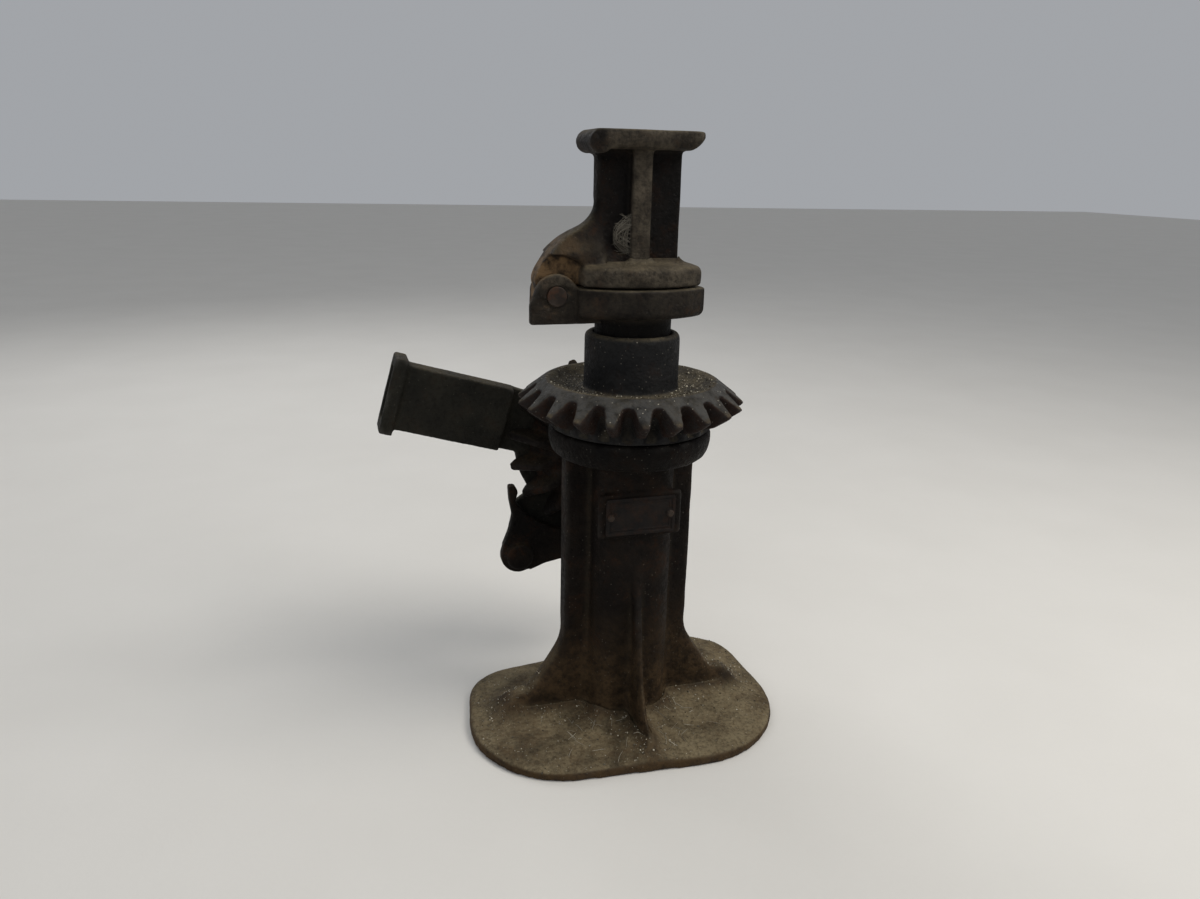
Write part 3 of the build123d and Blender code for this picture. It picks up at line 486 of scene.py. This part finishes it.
def stand_dust(co, up):
    """Dust thins towards the column, where dark grit lies, and hardly falls on the collar."""
    z = co[:, 2]
    bank = 0.50 * (1 - step(z, 7 * MM, 22 * MM)) * step(z, 5.0 * MM, 6.0 * MM)
    swept = 1 - 0.50 * np.exp(-column_distance(co) / (9 * MM)) * (1 - step(z, 14 * MM, 24 * MM))
    return np.maximum(up * swept, bank) * (1 - 0.85 * step(z, 80 * MM, 120 * MM))


def collar_painted_shade(co):
    """Painted shade on the collar under the gear."""
    return 0.6 * step(co[:, 2], 140 * MM, 150 * MM)


stand = cast_copy("stand", "stand", 1.15 * MM, 5, 0.55 * MM, (stand_soften, 40), stand_flow)
paint(stand, base_edge, foot_dust, collar_painted_shade, stand_dust)


# ---- gears, lever and pawl ----

SHAFT = np.array((0, 0, 133.093 * MM))
ARM_DOWN = np.array((-0.060946, 0, -0.998141))
ARM_LEFT = np.array((-0.998141, 0, 0.060946))
CONE_OUT = 0.603
CONE_UP = 0.798


def detent_room(co, n):
    """A little clearance where the pawl rides over the spring plunger."""
    along = (co - SHAFT) @ ARM_DOWN
    across = np.abs((co - SHAFT) @ ARM_LEFT)
    near = step(along, 61 * MM, 65 * MM) * (1 - step(across, 10 * MM, 15 * MM))
    return -0.45 * MM * near[:, None] * ARM_DOWN


def crown_zone(co, n):
    """1 on the outer cone above the teeth's rusty tips, which is lighter grey."""
    radial = np.hypot(co[:, 0], co[:, 1])
    out = (co[:, 0] * n[:, 0] + co[:, 1] * n[:, 1]) / np.maximum(radial, 1e-6)
    cone = out * CONE_OUT + n[:, 2] * CONE_UP
    return step(cone, 0.80, 0.94) * step(radial, 40 * MM, 42 * MM) * (1 - step(radial, 52.6 * MM, 54.4 * MM))


def crown_flanks(co, n):
    """1 on the tooth flanks and tips, which are dark reddish brown."""
    return step(np.hypot(co[:, 0], co[:, 1]), 40.5 * MM, 41.5 * MM) * (1 - crown_zone(co, n))


crown = cast_copy("crown_gear", "crown", 0.75 * MM, 11, 0.4 * MM)
wheel = cast_copy("bevel_pinion", "wheel", 0.7 * MM, 14, 0.5 * MM)
lever = cast_copy("lever_socket", "lever", 0.8 * MM, 6, 0.35 * MM)
pawl = cast_copy("pawl", "pawl", 0.55 * MM, 12, 0.35 * MM, carve=detent_room)
paint(crown, crown_zone, crown_flanks)
paint(wheel)
paint(lever)
paint(pawl)


# ---- extension head and saddle ----

HINGE_X = -39.8 * MM
HINGE_Z = 224.5 * MM
POST_WEB_REACH = 20.1 * MM
POST_WEB_HALF = 4.2 * MM
POST_RIB_HALF = 4.7 * MM
POST_RIB_REACH = 8.2 * MM


def hinge_distance(co):
    """Distance from the hinge pin's axis."""
    return np.hypot(co[:, 0] - HINGE_X, co[:, 2] - HINGE_Z)


def head_flow(co, n):
    """Flange top swept up to the post, and the cap's right end thinned from below."""
    x, y, z = co.T
    web = beside(x, y, POST_WEB_REACH, POST_WEB_HALF)
    rib = beside(x, y, POST_RIB_HALF, POST_RIB_REACH)
    top = step(n[:, 2], 0.5, 0.9) * step(z, 236 * MM, 237.4 * MM) * (1 - step(z, 239 * MM, 240.5 * MM))
    rise = 3.6 * MM * np.exp(-np.minimum(web, rib) / (2.6 * MM)) * top
    low_half = step(z, 286 * MM, 287.8 * MM) * (1 - step(z, 289.5 * MM, 295.5 * MM))
    rise += 3.2 * MM * low_half * step(x, 20.5 * MM, 29 * MM)
    return lifted(rise)


def heel_soften(co):
    """The heel's inner end flows into the post's web."""
    across = step(-co[:, 0], 9 * MM, 13 * MM) * (1 - step(-co[:, 0], 22 * MM, 29 * MM))
    return across * step(co[:, 2], 238.5 * MM, 241 * MM) * (1 - step(co[:, 2], 262 * MM, 268 * MM))


def ear_chips(co, n):
    """Eroded hollow round the pin on the front ear."""
    away = hinge_distance(co)
    ring = step(away, 4.6 * MM, 5.4 * MM) * (1 - step(away, 6.4 * MM, 8.6 * MM))
    front = step(-co[:, 1], 9.0 * MM, 10.2 * MM)
    depth = 0.75 * MM * ring * front * step(lumps(co, 9 * MM, 5), -0.5, 0.7)
    return np.stack((np.zeros(len(co)), depth, np.zeros(len(co))), 1)


def neck_painted_shade(co):
    """Painted shade on the neck under the saddle."""
    away = np.hypot(co[:, 0], co[:, 1])
    return (1 - step(co[:, 2], 211 * MM, 215 * MM)) * (1 - step(away, 19.5 * MM, 22 * MM)) * 0.9


def post_painted_shade(co):
    """Painted shade in the post's recesses."""
    deep = 1 - step(np.abs(co[:, 1]), 4.9 * MM, 6.2 * MM)
    return 0.55 * deep * step(co[:, 2], 240 * MM, 252 * MM) * (1 - step(co[:, 2], 284 * MM, 288 * MM))


def head_proud_light(co, n):
    """Painted light: the rib and the flange stand out lighter than the post's recesses and the saddle."""
    proud = step(np.abs(co[:, 1]), 5.2 * MM, 8.0 * MM)
    heel = step(-co[:, 0], 15 * MM, 22 * MM) * step(co[:, 2], 234 * MM, 240 * MM)
    return proud * (0.30 + 0.70 * step(co[:, 2], 227 * MM, 230 * MM)) * (1 - 0.85 * heel)


def head_zone(co, n):
    """1 on the rusty lug above the ears, less on the heel's outer edge."""
    away = hinge_distance(co)
    left, z = -co[:, 0], co[:, 2]
    lug = (1 - step(away, 16.8 * MM, 18.4 * MM)) * (1 - step(np.abs(co[:, 1]), 6.6 * MM, 8.2 * MM))
    rim = step(-n[:, 0], 0.3, 0.8) * step(left, 26 * MM, 34 * MM) * step(z, 226 * MM, 232 * MM)
    ear_top = step(n[:, 2], 0.1, 0.8) * step(left, 30 * MM, 33 * MM) * (1 - step(z, 235 * MM, 237 * MM))
    face = step(left, 20 * MM, 34 * MM) * step(z, 234 * MM, 240 * MM) * (1 - step(away, 24 * MM, 34 * MM))
    return np.maximum(np.maximum(lug, 0.6 * rim), np.maximum(0.45 * ear_top, 0.28 * face))


head = cast_copy(
    "extension_head", "head", 0.62 * MM, 12, 0.4 * MM, (heel_soften, 110), head_flow
)
saddle = cast_copy("saddle", "lift", 0.55 * MM, 5, 0.3 * MM, carve=ear_chips)
paint(head, head_zone, head_proud_light, post_painted_shade)
paint(saddle, head_zone, head_proud_light, neck_painted_shade)


# ---- screw thread and name plate ----


def new_piece(name, body, verts, faces):
    """Piece from points and faces that rides on a body."""
    mesh = bpy.data.meshes.new(name)
    mesh.from_pydata([tuple(v) for v in verts], [], [tuple(f) for f in faces])
    mesh.validate()
    mesh.update()
    piece = bpy.data.objects.new(name, mesh)
    scene.collection.objects.link(piece)
    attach(piece, body)
    return piece


def turned_screw():
    """Lift screw with a square thread that really climbs, and its plain tenon. Sizes in millimetres."""
    around = 96
    wide = around + 1
    lead, crest, root, broken_edge = 8.0, 15.0, 12.6, 0.25
    bottom, top, lip = 20.0, 200.9, 0.01
    tenon, tenon_top, tenon_bevel = 12.5, 222.0, 0.8
    section = (
        (0.0, root),
        (3.6, root),
        (4.0, crest - broken_edge),
        (4.2, crest),
        (7.4, crest),
        (7.6, crest - broken_edge),
    )
    angles = [2 * math.pi * k / around for k in range(wide)]
    rows = []
    for turn in range(-2, int((top - bottom) / lead) + 2):
        for rise, radius in section:
            rows.append((bottom + turn * lead + rise, radius))
    verts = []
    for z, radius in rows:
        for k, angle in enumerate(angles):
            height = min(max(z + lead * k / around, bottom), top)
            verts.append((radius * math.cos(angle), radius * math.sin(angle), height))
    faces = []
    for j in range(len(rows) - 1):
        for k in range(around):
            a = j * wide + k
            faces.append((a, a + 1, a + wide + 1, a + wide))
    shoulder = ((top, 0), (top - lip, crest), (top, tenon))
    end = ((tenon_top - tenon_bevel, tenon), (tenon_top, tenon - tenon_bevel))
    for z, radius in shoulder + end:
        first = len(verts)
        below = first - wide
        verts.extend((radius * math.cos(angle), radius * math.sin(angle), z) for angle in angles)
        if radius:
            faces.extend((below + k, below + k + 1, first + k + 1, first + k) for k in range(around))
    faces.append(tuple(range(first, first + around)))
    piece = new_piece("screw_thread", "lift", np.array(verts) * MM, faces)
    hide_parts("lift_screw")
    return piece


def stamped_plate():
    """Blank name plate: raised border, raised pads round the rivets and a dented field."""
    low, high = (np.array(corner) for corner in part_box("name_plate"))
    half = np.array(((high[0] - low[0]) / 2, (high[2] - low[2]) / 2)) - INSIDE
    middle = np.array(((high[0] + low[0]) / 2, (high[2] + low[2]) / 2))
    across, tall = 180, 96
    corner, rivet_inset, rim_sink = 1.2 * MM, 2.4 * MM, 0.15 * MM
    u, v = np.meshgrid(np.linspace(-half[0], half[0], across), np.linspace(-half[1], half[1], tall))
    over_u = np.maximum(np.abs(u) - (half[0] - corner), 0)
    over_v = np.maximum(np.abs(v) - (half[1] - corner), 0)
    reach = np.maximum(np.hypot(over_u, over_v) / corner, 1)
    u = np.sign(u) * (np.minimum(np.abs(u), half[0] - corner) + over_u / reach)
    v = np.sign(v) * (np.minimum(np.abs(v), half[1] - corner) + over_v / reach)
    inset = np.minimum(half[0] - np.abs(u), half[1] - np.abs(v))
    pad = np.hypot(np.abs(u) - (half[0] - rivet_inset + INSIDE), v)
    field = step(inset, 1.2 * MM, 1.7 * MM) * step(pad, 2.2 * MM, 2.6 * MM)
    line = step(inset, 2.3 * MM, 2.5 * MM) * (1 - step(inset, 2.9 * MM, 3.1 * MM))
    line = line * step(pad, 2.6 * MM, 3.0 * MM)
    flat = np.stack((u, np.zeros_like(u), v), -1).reshape(-1, 3)
    dents = (0.5 + 0.5 * lumps(flat, 7 * MM, 3)).reshape(u.shape).clip(0, 1)
    sink = (0.42 * field - 0.24 * line + 0.12 * field * dents) * MM
    rim = np.zeros_like(u, bool)
    rim[0, :] = rim[-1, :] = rim[:, 0] = rim[:, -1] = True
    sink[rim] = rim_sink
    front = np.stack((u + middle[0], low[1] + INSIDE + sink, v + middle[1]), -1).reshape(-1, 3)
    loop = list(range(across))
    loop += [j * across + across - 1 for j in range(1, tall)]
    loop += [(tall - 1) * across + k for k in range(across - 2, -1, -1)]
    loop += [j * across for j in range(tall - 2, 0, -1)]
    back = front[loop].copy()
    back[:, 1] = high[1] - INSIDE
    faces = []
    for j in range(tall - 1):
        for k in range(across - 1):
            a = j * across + k
            faces.append((a, a + 1, a + across + 1, a + across))
    first = len(front)
    for k in range(len(loop)):
        after = (k + 1) % len(loop)
        faces.append((loop[after], loop[k], first + k, first + after))
    faces.append(tuple(range(first + len(loop) - 1, first - 1, -1)))
    piece = new_piece("plate_blank", "stand", np.concatenate((front, back)), faces)
    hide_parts("name_plate")
    return piece


screw = turned_screw()
plate = stamped_plate()


# ---- loose grit, straw and dust web ----

BASE_GRAINS = 2600
DISH_GRAINS = 900
STRAWS = 44
LONG_THREADS = 52
CROSS_THREADS = 38
FULL_TURN = 6.28  # radians, rounded
THIRD_TURN = 2.1
ASIDE = (0.31, 0.22, 0.92)  # a direction that no strand follows


def surface_of(piece):
    """Search tree of the piece's faces, for dropping grains on it."""
    mesh = piece.data
    co, _ = mesh_arrays(mesh)
    return BVHTree.FromPolygons([tuple(c) for c in co], [tuple(f.vertices) for f in mesh.polygons])


def pebble():
    """Corners and faces of a unit icosahedron."""
    shape = bmesh.new()
    bmesh.ops.create_icosphere(shape, subdivisions=1, radius=1.0)
    corners = np.array([tuple(v.co) for v in shape.verts])
    faces = [[v.index for v in face.verts] for face in shape.faces]
    shape.free()
    return corners, faces


def scatter(surface, spots, top, seed, sizes):
    """Irregular grains resting on a surface: (verts, faces, tones). Spots are (x, y)."""
    rng = np.random.RandomState(seed)
    corners, faces = pebble()
    verts, all_faces, tones = [], [], []
    for x, y in spots:
        hit, normal, _, _ = surface.ray_cast(Vector((x, y, top)), Vector((0, 0, -1)))
        if hit is None or normal.z < 0.55:
            continue
        size = sizes[0] + (sizes[1] - sizes[0]) * rng.rand() ** 3
        grain = corners * rng.uniform(0.75, 1.25, corners.shape) * size * rng.uniform(0.6, 1.0, 3)
        turn = np.array(Matrix.Rotation(rng.uniform(0, FULL_TURN), 3, rng.normal(size=3)))
        grain = grain @ turn.T + np.array(hit) + np.array(normal) * size * 0.35
        tone = rng.rand() ** 1.8
        all_faces.extend([[len(verts) + k for k in face] for face in faces])
        verts.extend(grain)
        tones.extend([tone] * len(grain))
    return verts, all_faces, tones


def strand(points, width):
    """Thin three-sided strip along a path, with narrowed ends: (verts, faces)."""
    points = np.array(points)
    way = np.gradient(points, axis=0)
    way /= np.maximum(np.linalg.norm(way, axis=1)[:, None], 1e-9)
    side = np.cross(way, ASIDE)
    side /= np.maximum(np.linalg.norm(side, axis=1)[:, None], 1e-9)
    rise = np.cross(side, way)
    verts = []
    for k in range(len(points)):
        thick = width * (0.55 if k in (0, len(points) - 1) else 1.0)
        for angle in (0, THIRD_TURN, 2 * THIRD_TURN):
            verts.append(points[k] + thick * (side[k] * math.cos(angle) + rise[k] * math.sin(angle)))
    faces = []
    for k in range(len(points) - 1):
        for j in range(3):
            a, b = 3 * k + j, 3 * k + (j + 1) % 3
            faces.append((a, b, b + 3, a + 3))
    faces.append((2, 1, 0))
    last = 3 * len(points)
    faces.append((last - 3, last - 2, last - 1))
    return verts, faces


def base_litter():
    """Grit gathered round the column and the ribs, and a few bits of straw. Spots in millimetres."""
    straw_lift, stride = 0.22 * MM, 1.1
    rng = np.random.RandomState(11)
    surface = surface_of(stand)
    spots = []
    while len(spots) < BASE_GRAINS:
        x, y = rng.uniform(-78, 76), rng.uniform(-58, 54)
        column = max(abs(x), abs(y)) - 20
        rib = max(abs(x) - 2.5, 0)
        wing = max(abs(y) - 6.2, 0)
        near = math.exp(-max(min(column, rib, wing), 0) / 6.0)
        if rng.rand() < near * 0.8 + 0.10:
            spots.append((x * MM, y * MM))
    verts, faces, tones = scatter(surface, spots, 30 * MM, 12, (0.16 * MM, 0.62 * MM))
    for _ in range(STRAWS):
        x, y = rng.uniform(-38, 36), rng.uniform(-50, -14)
        steps = rng.randint(4, 9)
        heading, bend = rng.uniform(0, FULL_TURN), rng.uniform(-0.08, 0.08)
        path = []
        for _ in range(steps):
            hit, normal, _, _ = surface.ray_cast(Vector((x * MM, y * MM, 30 * MM)), Vector((0, 0, -1)))
            if hit is None or normal.z < 0.7:
                break
            path.append(np.array(hit) + np.array((0, 0, straw_lift)))
            x += math.cos(heading) * stride
            y += math.sin(heading) * stride
            heading += bend
        if len(path) > 3:
            more, sides = strand(path, rng.uniform(0.06, 0.15) * MM)
            faces.extend([[len(verts) + k for k in face] for face in sides])
            verts.extend(more)
            tones.extend([rng.uniform(0.35, 0.8)] * len(more))
    return verts, faces, tones


def dish_litter():
    """Coarse dust and grit in the crown gear's dished top."""
    rng = np.random.RandomState(21)
    spots = []
    while len(spots) < DISH_GRAINS:
        radius, angle = rng.uniform(23.2, 40.5), rng.uniform(0, 2 * math.pi)
        if rng.rand() < 0.25 + 0.75 * math.exp(-abs(radius - 28) / 7):
            spots.append((radius * math.cos(angle) * MM, radius * math.sin(angle) * MM))
    return scatter(surface_of(crown), spots, 200 * MM, 22, (0.22 * MM, 0.7 * MM))


def recess_web():
    """Dusty silk along the head's front rib, bulging left over the post's web. Sizes in millimetres."""
    rib_side, web_face = -4.6, -4.4
    rng = np.random.RandomState(31)
    verts, faces, tones = [], [], []
    for k in range(LONG_THREADS + CROSS_THREADS):
        if k < LONG_THREADS:
            bulge, depth = 8.0 * rng.rand() ** 0.7, rng.uniform(4.5, 7.4)
            start = np.array((rib_side, -depth, 261 - 6 * rng.rand()))
            end = np.array((rib_side, -depth, 241 + 5 * rng.rand()))
            sag = web_face - 0.25 * (depth + web_face)
            middle = np.array((rib_side - 2 * bulge, sag, 249 + rng.uniform(-3, 4)))
        else:
            z = rng.uniform(243, 258)
            start = np.array((rib_side, rng.uniform(-7.6, -5.0), z))
            end = np.array((rng.uniform(-13.0, -8.0), web_face + 0.1, z + rng.uniform(-4, 4)))
            middle = (start + end) / 2 + rng.uniform(-1.0, 1.0, 3)
        bend = np.linspace(0, 1, 10)[:, None]
        path = ((1 - bend) ** 2 * start + 2 * bend * (1 - bend) * middle + bend * bend * end) * MM
        more, sides = strand(path, rng.uniform(0.06, 0.17) * MM)
        faces.extend([[len(verts) + m for m in face] for face in sides])
        verts.extend(more)
        tones.extend([rng.uniform(0.2, 1.0)] * len(more))
    return verts, faces, tones


def litter_piece(name, body, made):
    """One piece from made: (verts, faces, tones)."""
    verts, faces, tones = made
    piece = new_piece(name, body, verts, faces)
    put(piece.data, "tone", np.array(tones))
    return piece


base_grit = litter_piece("base_grit", "stand", base_litter())
dish_grit = litter_piece("dish_grit", "crown", dish_litter())
silk = litter_piece("recess_web", "head", recess_web())


# ---- which piece has which material ----

STAND_IRON = cast_iron(
    "stand_iron",
    (0.0042, 0.0030, 0.0024),
    (0.0105, 0.0072, 0.0050),
    dust=0.80,
    rust=0.18,
    wear=0.2,
    zone=(0.060, 0.036, 0.016),
)
GEAR_IRON = cast_iron(
    "gear_iron",
    (0.0105, 0.0105, 0.0108),
    (0.0200, 0.0195, 0.0190),
    dust=0.46,
    rust=0.10,
    wear=0.3,
    specks=1.0,
    zone=(0.052, 0.0515, 0.050),
    tint_and_painted_light=(0.024, 0.0125, 0.0085),
)
WHEEL_IRON = cast_iron(
    "wheel_iron",
    (0.0045, 0.0035, 0.0030),
    (0.0120, 0.0085, 0.0062),
    dust=0.10,
    rust=0.30,
    wear=0.15,
    specks=0.15,
)
LEVER_IRON = cast_iron(
    "lever_iron",
    (0.0135, 0.0128, 0.0102),
    (0.0240, 0.0220, 0.0165),
    dust=0.28,
    rust=0.10,
    wear=0.8,
    specks=0.3,
)
HEAD_IRON = cast_iron(
    "head_iron",
    (0.0042, 0.0034, 0.0032),
    (0.0110, 0.0080, 0.0062),
    dust=0.34,
    rust=0.25,
    specks=0.2,
    zone=(0.160, 0.098, 0.048),
    # Painted light: the lighter colour of the head's proud faces.
    tint_and_painted_light=(0.074, 0.061, 0.044),
)
PIN_STEEL = old_steel(
    "pin_steel", (0.018, 0.013, 0.010), (0.040, 0.030, 0.023), rust=0.5, gloss=0.5, metallic=0.3
)
SCREW_STEEL = old_steel(
    "screw_steel", (0.035, 0.032, 0.030), (0.080, 0.074, 0.068), rust=0.25, gloss=0.38, metallic=0.6
)
RACE_STEEL = old_steel(
    "race_steel", (0.22, 0.22, 0.23), (0.34, 0.34, 0.35), rust=0.05, gloss=0.25, metallic=0.9
)
PLATE_STEEL = old_steel(
    "plate_steel", (0.0035, 0.0026, 0.0022), (0.009, 0.006, 0.0045), rust=0.15, gloss=0.65, metallic=0.0
)
LOOSE_GRIT = loose_dirt("loose_grit", (0.035, 0.028, 0.018), (0.62, 0.56, 0.43))
DUST_WEB = loose_dirt("dust_web", (0.030, 0.026, 0.020), (0.20, 0.18, 0.145))

for piece, material in (
    (stand, STAND_IRON),
    (crown, GEAR_IRON),
    (wheel, WHEEL_IRON),
    (lever, LEVER_IRON),
    (pawl, WHEEL_IRON),
    (head, HEAD_IRON),
    (saddle, HEAD_IRON),
    (screw, SCREW_STEEL),
    (plate, PLATE_STEEL),
    (base_grit, LOOSE_GRIT),
    (dish_grit, LOOSE_GRIT),
    (silk, DUST_WEB),
):
    piece.data.materials.clear()
    piece.data.materials.append(material)

NODE_METAL = {
    "plate_steel": PLATE_STEEL,
    "pin_steel": PIN_STEEL,
    "screw_steel": SCREW_STEEL,
    "race_steel": RACE_STEEL,
}
for part in frame["record"]["subparts"]:
    node = frame["nodes"][part["node"]]
    metal = NODE_METAL.get(part["material_slot"])
    if metal:
        node.data.materials.clear()
        node.data.materials.append(metal)


# ---- floor ----


def add_floor():
    """Plain pale floor under the base."""
    mesh = bpy.data.meshes.new("floor")
    side = 6.0
    corners = [(-side, -side, 0), (side, -side, 0), (side, side, 0), (-side, side, 0)]
    mesh.from_pydata(corners, [], [(0, 1, 2, 3)])
    floor = bpy.data.objects.new("floor", mesh)
    scene.collection.objects.link(floor)
    t = Tree("floor_paint")
    t.bump(t.noise(180, 3), 0.0002)
    tone = t.mix(t.noise(9, 3), (0.64, 0.62, 0.58), (0.70, 0.68, 0.64))
    mesh.materials.append(t.finish(tone, 0.75, specular=0.2))


add_floor()
